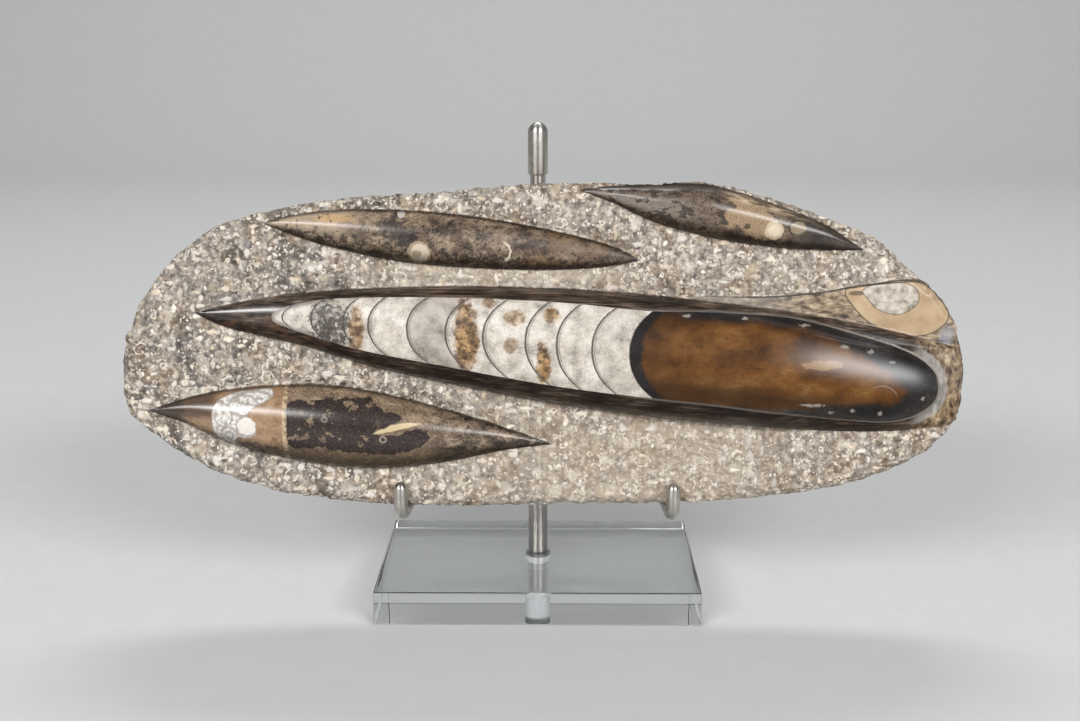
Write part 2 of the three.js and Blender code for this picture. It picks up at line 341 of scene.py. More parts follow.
# Upper and lower edges of each carved shell, left to right.
SHELLS = {
    "centre": (
        [(-204, 20.5), (-190, 24.2), (-170, 28.3), (-140, 32.5), (-100, 35.3), (-50, 36.7), (0, 35.8),
         (50, 33), (100, 28), (140, 22.9), (180, 16.4), (220, 7.5), (262, -4)],
        [(-204, 20.5), (-190, 13.5), (-170, 8), (-140, 1.2), (-100, -11), (-50, -21.8), (0, -31.6),
         (50, -38.8), (100, -44), (150, -47.8), (200, -49.2), (241, -45.5), (262, -42)]),
    "upper_left": (
        [(-163, 72.8), (-150, 76.7), (-130, 79.8), (-100, 81.2), (-60, 79.4), (-20, 74.2), (20, 66),
         (45, 58.5), (58, 51.5)],
        [(-163, 72.8), (-140, 64.2), (-120, 58.3), (-80, 50.3), (-40, 47), (0, 45.8), (35, 47.4),
         (58, 51.5)]),
    "upper_right": (
        [(20, 92.5), (40, 94.6), (60, 95.6), (80, 96.5), (97, 95.6), (115, 91), (135, 84.5), (150, 79),
         (165, 72.5), (188, 57.7)],
        [(20, 92.5), (40, 85.5), (60, 76), (80, 69.2), (110, 62.8), (140, 58.8), (165, 57.6),
         (188, 57.7)]),
    "lower_left": (
        [(-233, -38), (-215, -31.5), (-190, -25.5), (-150, -21.8), (-120, -22.5), (-90, -27.5),
         (-50, -38), (-20, -47.5), (7, -57.5)],
        [(-233, -38), (-210, -45.8), (-190, -55.3), (-160, -64.2), (-130, -69.8), (-100, -72),
         (-60, -68.7), (-20, -60.8), (7, -57.5)]),
}
# Height over half width, how flat-topped each dome is, and how full its sides are.
SHELL_DOMES = {"centre": (0.66, 2.5, 0.55), "upper_left": (0.72, 2.1, 0.6),
               "upper_right": (0.78, 2.1, 0.6), "lower_left": (0.72, 2.1, 0.6)}
CREST_LOWERED = {"centre": 0.22, "upper_left": 0.05, "upper_right": 0.0, "lower_left": 0.05}
CREST_TURN = (20.0, 90.0)
CORE = (
    [(-157, 19), (-155.8, 21.4), (-150, 24.2), (-130, 28.8), (-100, 30.4), (-60, 30.8), (-20, 29.8),
     (20, 27.6), (60, 23.6), (110, 22), (148, 18.4), (183, 9.2), (210, 0.5), (223, -6.5), (230, -14),
     (232, -22)],
    [(-157, 19), (-155.8, 16.4), (-148, 12.8), (-120, 4), (-100, -0.8), (-60, -8), (-20, -15.2),
     (20, -21.6), (58, -25.8), (100, -30), (140, -35.4), (180, -40.6), (207, -41.5), (222, -36.5),
     (230, -29.5), (232, -22)])
BULLET_FROM, BULLET_TO = 120.0, 190.0
REGIONS = {
    "coil_field": [(177, 34.5), (182, 25), (192, 15.5), (206, 9.5), (222, 8), (232, 12), (238, 20),
                   (233, 29), (222, 38.5), (200, 38.5)],
    "coil": [(187, 34), (191, 28.5), (196, 23.5), (206, 20.5), (214, 22.5), (219.5, 28), (219, 34.5),
             (212, 38.8), (200, 38.6), (192, 37.6)],
    "wedge": [(86, 30), (130, 30.4), (160, 32.8), (184, 36.6), (222, 39.6), (240, 24), (252, 2),
              (200, 2), (140, 15), (100, 24)],
    "brown": [(60, 21), (100, 17.5), (145, 14.5), (162, 10.5), (176, 2), (196, -10), (210, -19),
              (208, -28), (190, -30.5), (164, -31.5), (146, -33.5), (120, -33), (90, -30), (60, -27),
              (57.5, -4)],
    "crystal": [(-193, -38), (-190, -31), (-181, -26.5), (-168, -24.5), (-158, -24), (-157, -27.5),
                (-164, -32), (-170, -35.5), (-171, -39), (-167, -44), (-167, -50), (-172, -52.5),
                (-178, -52), (-181, -57), (-187, -56), (-192, -50)],
    "blotch": [(-148, -32), (-138, -28.5), (-120, -29), (-102, -29), (-94, -35), (-83, -37), (-81, -42),
               (-90, -45), (-98, -48), (-84, -49), (-70, -46), (-66, -52), (-72, -58), (-86, -61),
               (-110, -60), (-130, -57), (-146, -57), (-149, -45)],
    "tan_patch": [(108, 88), (120, 86), (131, 80), (134, 72), (130, 64.5), (120, 67), (114, 72),
                  (108, 70), (106, 78)],
}


def spline(points, closed=False, steps=8):
    """A smooth path through the points, as a dense list."""
    p = np.asarray(points, float)
    ends = (p[-1:], p[:2]) if closed else (2 * p[:1] - p[1:2], 2 * p[-1:] - p[-2:-1])
    p = np.vstack([ends[0], p, ends[1]])
    knots = np.cumsum(np.r_[0, np.linalg.norm(np.diff(p, axis=0), axis=1) ** 0.5])
    u = np.linspace(0, 1, steps, endpoint=False)[:, None]
    path = []
    for i in range(1, len(p) - 2):
        a, b, c, d = knots[i - 1:i + 3]
        span = c - b
        middle = (p[i + 1] - p[i]) / span
        leave = span * ((p[i] - p[i - 1]) / (b - a) - (p[i + 1] - p[i - 1]) / (c - a) + middle)
        reach = span * (middle - (p[i + 2] - p[i]) / (d - b) + (p[i + 2] - p[i + 1]) / (d - c))
        path.append((2 * u**3 - 3 * u**2 + 1) * p[i] + (u**3 - 2 * u**2 + u) * leave
                    + (3 * u**2 - 2 * u**3) * p[i + 1] + (u**3 - u**2) * reach)
    if not closed:
        path.append(p[-2:-1])
    return np.vstack(path)


def evenly(path, count):
    """The path as count + 1 evenly spaced points."""
    length = np.r_[0, np.cumsum(np.linalg.norm(np.diff(path, axis=0), axis=1))]
    wanted = np.linspace(0, length[-1], count + 1)
    return np.stack([np.interp(wanted, length, path[:, axis]) for axis in (0, 1)], 1)


def inside_mm(outline, right, up):
    """Distance to a closed outline, positive inside."""
    run = np.roll(outline, -1, axis=0) - outline
    nearest = np.full(right.shape, 1e9)
    within = np.zeros(right.shape, bool)
    for (x, y), (dx, dy) in zip(outline, run):
        share = np.clip(((right - x) * dx + (up - y) * dy) / max(dx * dx + dy * dy, 1e-9), 0, 1)
        nearest = np.minimum(nearest, np.hypot(right - x - share * dx, up - y - share * dy))
        crosses = (up < y) != (up < y + dy)
        if dy:
            within ^= crosses & (right < x + (up - y) * dx / dy)
    return np.where(within, nearest, -nearest)


class Carving:
    """A shell between an upper and a lower edge: how far inside, and how far across."""

    def __init__(self, edges, right, up):
        upper, lower = (spline(edge) for edge in edges)
        self.inside = inside_mm(np.vstack([upper, lower[::-1][1:-1]]), right, up)
        top = np.interp(right, upper[:, 0], upper[:, 1])
        bottom = np.interp(right, lower[:, 0], lower[:, 1])
        self.half = np.maximum((top - bottom) / 2, 0.01)
        self.across = np.clip((2 * up - top - bottom) / (2 * self.half), -1.5, 1.5)

    def dome(self, height_share, flatness, fullness, lowered=0.0):
        """A dome's height; lowered moves its crest towards the lower edge."""
        across = self.across + lowered * (1 - self.across**2)
        over = np.clip(1 - np.abs(across) ** flatness, 0, 1) ** fullness
        return np.where(self.inside > 0, height_share * self.half * over, 0)


def ease(value, low, high):
    share = np.clip((value - low) / (high - low), 0, 1)
    return share * share * (3 - 2 * share)


def rumple(places, size, detail=3):
    """Smooth noise from about -1 to 1 at each place, in mm."""
    return np.array([solid_noise.fractal(Vector(place) / size, 0.6, 2.0, detail) for place in places])


def face_grid():
    """Even points over the face, drawn from its four sides, as rows of (right, up)."""
    counts = {"top": COLUMNS, "bottom": COLUMNS, "left": ROWS, "right": ROWS}
    side = {name: evenly(spline(points), counts[name]) for name, points in OUTLINE.items()}
    u = np.linspace(0, 1, COLUMNS + 1)[None, :, None]
    v = np.linspace(0, 1, ROWS + 1)[:, None, None]
    top, bottom = side["top"][None], side["bottom"][None]
    left, right = side["left"][:, None], side["right"][:, None]
    grid = (1 - v) * bottom + v * top + (1 - u) * left + u * right
    grid = grid - (1 - u) * (1 - v) * bottom[:, :1] - u * (1 - v) * bottom[:, -1:]
    return (grid - (1 - u) * v * top[:, :1] - u * v * top[:, -1:]).reshape(-1, 2)


def border_order():
    """The grid's outer vertices, counter-clockwise from the front."""
    width = COLUMNS + 1
    return np.r_[np.arange(COLUMNS), np.arange(ROWS) * width + COLUMNS,
                 ROWS * width + np.arange(COLUMNS, 0, -1), np.arange(ROWS, 0, -1) * width]


def carve(right, up, edge_distance):
    """Height of the finished face over its mean plane, and the fields that the material reads."""
    fields = {}
    flat = np.stack([right, up, np.zeros_like(right)], 1)
    coarse = rumple(flat, 42)
    fine = rumple(flat + 300, 5)
    rock = 0.9 * coarse + 0.3 * fine + 0.3 * rumple(flat + 700, 2.6, 2)
    domes = np.zeros_like(right)
    near = np.full(right.shape, -1e9)
    for name, edges in SHELLS.items():
        shell = Carving(edges, right, up)
        fields[name] = shell.inside
        fields[name + "_across"] = shell.across
        height = shell.dome(*SHELL_DOMES[name], lowered=CREST_LOWERED[name] * ease(right, *CREST_TURN))
        if name == "centre":
            core = Carving(CORE, right, up)
            fields["core"] = core.inside
            fields["core_across"] = core.across
            ledge = 6.5 * (1 - np.exp(-np.maximum(shell.inside, 0) / 3.2))
            bullet = ledge + core.dome(0.6, 2.1, 0.5, lowered=0.22)
            height = height + (bullet - height) * ease(right, BULLET_FROM, BULLET_TO)
            height = np.where(shell.inside > 0, height, 0)
        domes = np.maximum(domes, height)
        near = np.maximum(near, shell.inside)
    for name, points in REGIONS.items():
        fields[name] = inside_mm(spline(points, closed=True), right, up)
    cove = COVE * np.exp(-np.maximum(-near, 0) / 8)
    polish = ease(fields["wedge"], -1, 2)
    rock = rock * (1 - 0.8 * polish) - cove * (1 - 0.6 * polish)
    height = np.where(near > 0, domes - COVE * (1 - 0.6 * polish), rock)
    bevel = 4.2 * np.clip(1 - edge_distance / 6, 0, 1) ** 2
    ragged = 1 + 0.9 * rumple(flat + 90, 9)
    return height - bevel * np.clip(ragged, 0.3, 1.9), fields


def placed(right, up, out):
    """From face coordinates to the frame's, in mm."""
    sine, cosine = math.sin(LEAN), math.cos(LEAN)
    return np.stack([right, up * sine - out * cosine, up * cosine + out * sine], 1) + SLAB_CENTRE


RIM = [(7, -0.4), (10, -0.2), (13.5, 0.2), (17, 0.8), (20.5, 1.4), (24, 2.2), (27, 3.2), (29.2, 4.4),
       (-SLAB_BACK, 5.6)]


def keep_clear(points):
    """The underside stays above the arms and the back edge in front of the rod."""
    reach = np.abs(points[:, 0] - POST[0])
    over_arm = (reach > ARM_REACH[0]) & (reach < ARM_REACH[1]) & (points[:, 2] < ARM_TOP)
    points[over_arm, 2] = np.maximum(points[over_arm, 2], SEAT_Z)
    by_rod = reach < ROD_REACH
    points[by_rod, 1] = np.minimum(points[by_rod, 1], ROD_FRONT)
    return points


def make_rock():
    """The whole rock as one closed skin: carved face, broken rim and sawn back."""
    grid = face_grid()
    border = border_order()
    loop = grid[border]
    jagged = rumple(np.c_[loop, np.zeros(len(loop))] + 40, 7, 4)
    outward = loop / np.linalg.norm(loop, axis=1)[:, None]
    edge_distance = inside_mm(evenly_closed(loop, 260), grid[:, 0], grid[:, 1])
    edge_distance = np.maximum(edge_distance, 0)
    edge_distance[border] = 0
    rows = np.exp(-edge_distance / 2.5)
    shift = np.interp(np.arctan2(grid[:, 1], grid[:, 0]),
                      *sorted_pair(np.arctan2(loop[:, 1], loop[:, 0]), jagged))
    reach = np.linalg.norm(grid, axis=1)[:, None]
    grid = grid * (1 + (np.minimum(shift, 0.35) * 0.9 * rows)[:, None] / np.maximum(reach, 1))
    height, fields = carve(grid[:, 0], grid[:, 1], edge_distance)
    face_mm = [np.c_[grid, height]]
    frame_mm = [placed(grid[:, 0], grid[:, 1], height)]
    rings = [border]
    loop = grid[border]
    start = len(grid)
    for depth, inset in RIM:
        rough = rumple(np.c_[loop, np.full(len(loop), -depth * 1.0)] + 500, 8, 4)
        fade = 1 if depth < BROKEN_DEPTH else 0.3
        moved = loop - outward * (inset - 0.9 * rough * fade)[:, None]
        out = np.full(len(loop), -float(depth)) + (0 if depth > BROKEN_DEPTH else 1) * 0.6 * rough
        face_mm.append(np.c_[moved, out])
        frame_mm.append(placed(moved[:, 0], moved[:, 1], out))
        rings.append(np.arange(start, start + len(loop)))
        start += len(loop)
        for name in fields:
            fields[name] = np.r_[fields[name], np.minimum(fields[name][border], 2) - depth * 0.6]
    face_mm.append(np.array([[0, 0, SLAB_BACK]]))
    frame_mm.append(placed(*np.array([[0.0], [0.0], [SLAB_BACK]])))
    for name in fields:
        fields[name] = np.r_[fields[name], -40]
    faces = grid_faces()
    for ring, after in zip(rings, rings[1:]):
        faces += np.stack([ring, after, np.roll(after, -1), np.roll(ring, -1)], 1).tolist()
    faces += [(a, start, b) for a, b in zip(rings[-1].tolist(), np.roll(rings[-1], -1).tolist())]
    points = keep_clear(np.vstack(frame_mm)) * MM
    mesh = bpy.data.meshes.new("fossil_rock")
    mesh.from_pydata(points.tolist(), [], faces)
    store(mesh, "face_mm", np.vstack(face_mm), "FLOAT_VECTOR")
    for name, values in fields.items():
        store(mesh, name, values, "FLOAT")
    add_bake_map(mesh, np.vstack(face_mm))
    paint_rock(mesh, fields)
    mesh.polygons.foreach_set("use_smooth", [True] * len(mesh.polygons))
    return add_piece("fossil_rock", mesh, "fossil_rock", "fossil_slab")


def sorted_pair(keys, values):
    order = np.argsort(keys)
    return keys[order], values[order]


def evenly_closed(loop, count):
    return evenly(np.vstack([loop, loop[:1]]), count)[:-1]


def grid_faces():
    width = COLUMNS + 1
    corner = (np.arange(ROWS)[:, None] * width + np.arange(COLUMNS)[None]).reshape(-1)
    return np.stack([corner, corner + 1, corner + width + 1, corner + width], 1).tolist()


def store(mesh, name, values, kind):
    layer = mesh.attributes.new(name, kind, "POINT")
    key = "vector" if kind == "FLOAT_VECTOR" else "value"
    layer.data.foreach_set(key, np.ascontiguousarray(values, dtype=np.float32).reshape(-1))


def read(items, key):
    """One whole-number property of all a mesh's items."""
    values = np.empty(len(items), int)
    items.foreach_get(key, values)
    return values


def add_bake_map(mesh, face_mm):
    """One flat layout for the rock: the face in two stacked halves, the rim and the back below."""
    layer = mesh.uv_layers.new(name="OFBake")
    corners = read(mesh.loops, "vertex_index")
    starts = read(mesh.polygons, "loop_start")
    sizes = np.diff(np.r_[starts, len(corners)])
    owner = np.repeat(np.arange(len(starts)), sizes)
    place = face_mm[corners]
    front_count = COLUMNS * ROWS
    mean_right = np.add.reduceat(place[:, 0], starts) / sizes
    is_front = owner < front_count
    is_back = sizes[owner] == 3
    left_half = mean_right[owner] < 0
    u = np.where(left_half, place[:, 0] + 250, place[:, 0] + 2) / 254 * 0.98 + 0.01
    v = (place[:, 1] + 98) / 196 * 0.41 + np.where(left_half, 0.58, 0.155)
    angle = np.arctan2(place[:, 1] * 2.6, place[:, 0])
    mean_angle = np.arctan2(np.add.reduceat(place[:, 1], starts) * 2.6,
                            np.add.reduceat(place[:, 0], starts))[owner]
    angle = np.where(angle - mean_angle > math.pi, angle - 2 * math.pi, angle)
    angle = np.where(mean_angle - angle > math.pi, angle + 2 * math.pi, angle)
    u_rim = angle / (2 * math.pi) * 0.96 + 0.5
    v_rim = -place[:, 2] / 31 * 0.055 + 0.09
    u_back = place[:, 0] / 500 * 0.98 + 0.5
    v_back = (place[:, 1] + 98) / 196 * 0.075 + 0.005
    uv = np.stack([np.where(is_front, u, np.where(is_back, u_back, u_rim)),
                   np.where(is_front, v, np.where(is_back, v_back, v_rim))], 1)
    layer.data.foreach_set("uv", np.clip(uv, 0, 1).astype(np.float32).reshape(-1))


# ---------------------------------------------------------------- the rock's materials

# Cell size in mm, stretch, share of cells that are filled, and a shift of the pattern.
FLECKS = [(3.2, (1, 1, 1), 0.36, 5.3), (5.2, (1.6, 0.7, 1), 0.30, 17.0),
          (5.2, (0.7, 1.6, 1), 0.26, 29.0), (1.9, (1, 1, 1), 0.34, 41.0)]
# Cell size, ring radius as a share of it, share of cells that hold one, and a shift.
RINGS = [(5.6, 0.26, 0.35, 4.4), (13, 0.28, 0.5, 21.0)]
ROCK_ROUGH = 0.78


def rock_look(place):
    """Grey-brown limestone crowded with broken pale shells: colour and height."""
    right, up = place.right, place.up
    bent = warp(warp(place, 5, 4), 1.4, 1.3, shift=3.1)
    ground = noise(bent, 3.4, 4, 0.66)
    colour = ramp(ground, (0.30, 84, 77, 72), (0.42, 130, 121, 112), (0.52, 164, 154, 142),
                  (0.61, 192, 181, 167), (0.74, 226, 217, 203))
    _, patch = cells(bent, 4.6, shift=2.7)
    colour = blend(patch[0] * 0.75, colour, (206, 202, 200), "MULTIPLY")
    warm = step(noise(place, 17, 4, shift=7.7), 0.48, 0.62)
    colour = blend(warm * 0.5, colour, (226, 202, 168), "MULTIPLY")
    wander = noise(place, 30, shift=33.0) - 0.5
    calm = step(up + wander * 60, -10, -55) * step(right + wander * 120, -110, 10)
    calm = calm * step(right + wander * 60, 175, 105)
    colour = blend(calm * 0.3, colour, (202, 184, 162))
    cool = step(noise(place, 15, 4, shift=1.3), 0.48, 0.62) * step(right, 80, -140)
    colour = blend(cool * 0.8, colour, (160, 163, 170), "MULTIPLY")
    # Painted light: the strip of rock between the upper left shell and the long shell is lightened, as if
    # lit from above.
    valley_painted_light = step(right, -130, -60) * step(right, 70, 10) * step(up, 52, 46) * step(up, 33, 38)
    colour = blend(valley_painted_light * 0.3, colour, (226, 210, 188))
    strength = 1 - calm * 0.12
    piece, random = cells(warp(place, 7, 7, 3, 8.0), 9.5, shift=63.0)
    piece = step(piece, 0.5, 0.3) * step(random[0], 0.66, 0.70)
    tint = ramp(random[1], (0.3, 226, 216, 200), (0.55, 132, 130, 134), (0.8, 208, 188, 160))
    colour = blend(piece * 0.4, colour, tint)
    little = warp(warp(place, 6, 3, shift=4.0), 2.2, 1.7, shift=6.1)
    height = ground
    for size, stretch, share, shift in FLECKS:
        distance, random = cells(little, size, stretch, shift)
        fleck = step(distance, 0.50, 0.25) * step(random[0], 1 - share, 1.03 - share)
        tint = ramp(random[1], (0.0, 246, 238, 224), (0.4, 226, 212, 192), (0.7, 222, 216, 210),
                    (1.0, 216, 194, 166))
        colour = blend(fleck * (random[2] * 0.75 + 0.25) * strength, colour, tint)
        height = height + fleck * 0.25
    worn = step(noise(place, 2.2, 3, shift=12.0), 0.42, 0.54) * strength
    for size, radius, share, shift in RINGS:
        distance, random = cells(little, size, shift=shift)
        ring = step(abs(distance - radius), 0.7 / size, 0.25 / size)
        ring = ring * step(random[0], 1 - share, 1.02 - share) * worn
        colour = blend(ring * 0.75, colour, (238, 228, 212))
        height = height + ring * 0.2
    pits = step(noise(place, 1.6, 3, 0.7, shift=14.0), 0.38, 0.30)
    return blend(pits * 0.65, colour, (74, 66, 60)), height - pits * 0.4


def finish_rock(shader, colour, roughness, height, distance_mm=0.5):
    shader.set(base_color=colour, roughness=roughness)
    shader.bump(height, distance_mm)
    return shader.material


def plain_rock():
    shader = Shader("rock_matrix")
    place = shader.face()
    colour, height = rock_look(place)
    back = step(place.out, -29.0, -30.2)
    saw = noise(place, 1.6, stretch=(60, 1, 1), shift=9.0)
    colour = blend(back * 0.45, colour, (128, 120, 112))
    height = height * (1 - back * 0.85) + saw * back * 0.5
    return finish_rock(shader, colour, 0.8 - back * 0.1, height, 0.7)


def flank_look(place):
    """Dark polished limestone round a shell, streaked along its length."""
    streak = noise(place, 1.3, 4, stretch=(26, 1, 1))
    blot = noise(place, 9, 4, stretch=(2.5, 1, 1), shift=3.0)
    return ramp(streak * 0.65 + blot * 0.5, (0.44, 22, 17, 14), (0.55, 48, 37, 30), (0.65, 86, 71, 60),
                (0.80, 146, 128, 110))


def centre_shell():
    """The long central shell, its body chamber, and the coil beside it."""
    shader = Shader("rock_centre")
    place = shader.face()
    right, up = place.right, place.up
    colour, height = rock_look(place)
    edge_wave = noise(place, 3.0, shift=0.4) - 0.5
    polished = step(place.field("centre") + edge_wave * 1.0, -0.5, 0.5)
    rusty = step(right, -110, -150) * step(up, 19.5, 15)
    rusty = rusty * step(noise(place, 5, 5, shift=9.0), 0.48, 0.62)
    flank = blend(rusty * 0.75, flank_look(place), (112, 76, 52))
    colour = blend(polished, colour, flank)
    rough = ROCK_ROUGH - polished * 0.54
    core = place.field("core")
    across = place.field("core_across")
    in_core = step(core + edge_wave * 0.5, -0.25, 0.25)
    bulge = across * across * (0.7 + across * across * 0.3)
    # A coordinate that is constant along each curved wall between chambers.
    along = right - bulge * least((right + 175) * 0.075 + 3.5, 14.0) - edge_wave * 0.8
    colour = blend(in_core, colour, chambers_look(place, along))
    lines, shadow = septa(along)
    in_white = in_core * step(along, 51, 50)
    rough = rough + in_white * 0.22
    colour = coats(colour, (lines * in_white, 70, 62, 58), (shadow * in_white * 0.35, 120, 108, 98))
    body, body_gloss, body_rough = body_look(place, along)
    in_body = in_core * step(along, 50, 51)
    colour = blend(in_body, colour, body)
    rough = rough + step(right, 90, 140) * polished * 0.14
    rough = rough + in_body * (body_rough - rough)
    low = polished * (1 - in_core) * step(place.field("centre_across"), 0.1, -0.5)
    tip = step(right, -130, -165) * 0.4
    shader.set(specular_ior_level=0.5 + tip - in_body * (0.5 - body_gloss) - low * (0.38 + tip))
    rim_line = step(abs(core + 0.6 + edge_wave * 0.6), 0.7, 0.25)
    rim_line = rim_line * step(right, 44, 64) * polished
    pale = step(right, 150, 200) * 0.55 + 0.3
    # Painted shade: the lower flank of the long shell, left of the nose, is darkened towards near black.
    colour = coats(colour, (low * step(right, 215, 195) * 0.55, 30, 24, 20),
                   (rim_line * pale, 150, 142, 134))
    colour, rough = ledge_look(place, core, polished, colour, rough)
    colour, rough = coil_look(place, colour, rough, polished)
    height = height * (1 - most(polished, step(place.field("wedge"), -0.5, 0.5)))
    return finish_rock(shader, colour, rough, height - lines * in_white * 0.5)


SEPTA = (-150.5, -133.5, -114.5, -99.8, -77.3, -55, -33.3, -8.9, 9.1, 29.4)
RUST = [((-107, 12), (4.5, 17), 0.8), ((-43, 8), (7, 22), 1.0), ((-15, 20), (6, 5), 0.6),
        ((-17, 4), (4, 5), 0.45), ((1.5, -8), (4.2, 14), 1.0), ((6, 21), (5, 4.5), 0.9),
        ((-30, 28), (4, 3), 0.5)]


def septa(along):
    """The thin dark walls between the chambers, and the soft edge beside each."""
    gap = least(*[abs(along - place) for place in SEPTA])
    double = least(*[abs(along - place - 1.5) for place in SEPTA])
    behind = least(*[operate("WRAP", along - place, 400.0, 0.0) for place in SEPTA[3:]])
    lines = most(step(gap, 0.75, 0.3), step(double, 0.4, 0.15) * 0.4)
    return lines, step(behind, 2.6, 0.6)


def chambers_look(place, along):
    """White and cream calcite, greyer in some chambers, with rusty blotches."""
    cloud = noise(place, 9, 4, shift=2.0)
    fleck = noise(place, 1.3, 4, 0.7, shift=6.0)
    vein = abs(noise(warp(place, 6, 5, shift=1.0), 7, 3, shift=11.0) - 0.5)
    colour = ramp(cloud * 0.75 + fleck * 0.35, (0.38, 142, 133, 124), (0.50, 190, 181, 169),
                  (0.62, 216, 207, 196), (0.80, 232, 226, 217))
    grey = step(along, -78, -76) * step(along, -54, -56)
    grey = grey + step(along, 29, 31) * 0.35 + step(along, -133, -131) * step(along, -113, -116)
    colour = blend(grey * 0.55, colour, (176, 172, 168), "MULTIPLY")
    speck = step(noise(place, 2.6, 4, 0.75, shift=15.0), 0.62, 0.70)
    dark = spot(place, (-122, 12), (11, 16), noise(place, 3.0, 5, shift=20.0), 1.7)
    glint = step(noise(place, 3.2, 5, 0.7, shift=24.0), 0.52, 0.60)
    smoke = step(place.right, -116, -136) * step(place.field("core") + cloud * 3, 5.0, 1.8)
    colour = coats(colour, (speck * 0.65, 108, 100, 96), (dark * (0.9 - glint * 0.4), 48, 42, 39),
                   (smoke * 0.75, 104, 94, 88), (step(vein, 0.012, 0.003) * 0.4, 120, 108, 96))
    ragged = noise(place, 5.5, 5, 0.68, shift=30.0)
    stain = most(0.0, *[spot(place, centre, radii, ragged, 0.75) * strength
                        for centre, radii, strength in RUST])
    colour = blend(stain, colour, (226, 194, 146), "MULTIPLY")
    deep = stain * step(noise(place, 6, 5, 0.65, shift=40.0), 0.38, 0.56)
    core = deep * step(noise(place, 3.6, 4, shift=44.0), 0.40, 0.56)
    return coats(colour, (deep * 0.8, 116, 80, 42), (core * 0.9, 54, 38, 24))


# Pale chips in the body chamber's dark border: centre and half sizes.
CHIPS = [((157, -30.5), (7, 1.1)), ((168, -35), (1.5, 1.3)), ((180, -34), (1.4, 1.2)),
         ((196, -35.5), (1.6, 1.5)), ((221, -27), (1.4, 1.2)), ((175, 3), (3, 1.2)), ((190, 0), (2, 1.3)),
         ((203, -6), (1.6, 1)), ((152, 15), (3, 1)), ((84, 20.5), (2.5, 0.9)), ((118, 19), (2, 0.8))]


def body_look(place, along):
    """The body chamber: amber brown, going to near-black at its edges and nose."""
    right, up = place.right, place.up
    cloud = noise(place, 16, 5, 0.6, (1.5, 1, 1), 5.0)
    fleck = noise(place, 0.9, 4, 0.75, shift=8.0)
    across = place.field("core_across")
    brown = ramp(cloud * 0.75 + fleck * 0.3 - across * 0.05, (0.36, 54, 32, 14), (0.46, 86, 54, 24),
                 (0.56, 108, 70, 33), (0.64, 124, 86, 46), (0.74, 158, 120, 76))
    ragged = noise(place, 6, 5, 0.7, (2, 1, 1), 69.0)
    worn = step(noise(place, 4, 5, 0.75, (2, 1, 1), 66.0), 0.58, 0.66)
    brown = coats(brown, (step(abs(across - 0.17), 0.36, 0.95) * 0.82, 48, 31, 18),
                  (step(right, 84, 62) * 0.4, 66, 46, 30),
                  # Painted highlight: the pale yellowish streak at (163, -7), where the body's highlight
                  # begins.
                  (spot(place, (163, -7), (11, 2.6), ragged, 1.6) * 0.45, 176, 142, 98),
                  (worn * 0.5, 48, 34, 24))
    black = ramp(cloud * 0.5 + fleck * 0.5, (0.40, 26, 24, 23), (0.54, 44, 41, 40), (0.66, 84, 80, 78))
    wander = (noise(place, 12, 4, shift=50.0) - 0.5) * 10
    soft = step(place.field("brown") + wander, -2.5, 2.5) * step(along + wander * 0.45, 56, 59.5)
    colour = blend(soft, black, brown)
    chipped = noise(place, 2.2, 4, 0.7, shift=67.0)
    colour = coats(colour, *[(spot(place, centre, radii, chipped, 1.5) * 0.7, 160, 152, 144)
                             for centre, radii in CHIPS])
    around = operate("SQRT", (right - 196) * (right - 196) + (up + 29) * (up + 29))
    scratch = step(abs(around + wander * 0.1 - 10), 0.7, 0.2) * step(up, -26, -23)
    colour = coats(colour, (scratch * step(right, 189, 194) * 0.32, 170, 150, 132))
    bright = step(across, -0.25, 0.15) * step(across, 0.8, 0.55) * step(right, 125, 172)
    return colour, 0.12 + bright * 0.75, 0.46 - step(right, 120, 170) * 0.16 + fleck * 0.1


def ledge_look(place, core, polished, colour, rough):
    """Right of the body chamber: a pale grey ledge and the tan polished edge of the slab."""
    beyond = step(place.right, 214, 226) * polished * step(core, -0.8, -1.4)
    mottle = noise(place, 3.0, 5, 0.7, (1, 2, 1), 21.0)
    tan = ramp(mottle, (0.36, 48, 38, 30), (0.45, 98, 80, 62), (0.56, 146, 124, 98), (0.70, 200, 180, 150))
    grey = ramp(mottle, (0.35, 120, 114, 106), (0.6, 166, 160, 152), (0.8, 196, 190, 182))
    near = step(core + mottle * 2, -5.4, -3.8)
    return blend(beyond, colour, blend(near, tan, grey)), rough + beyond * 0.1


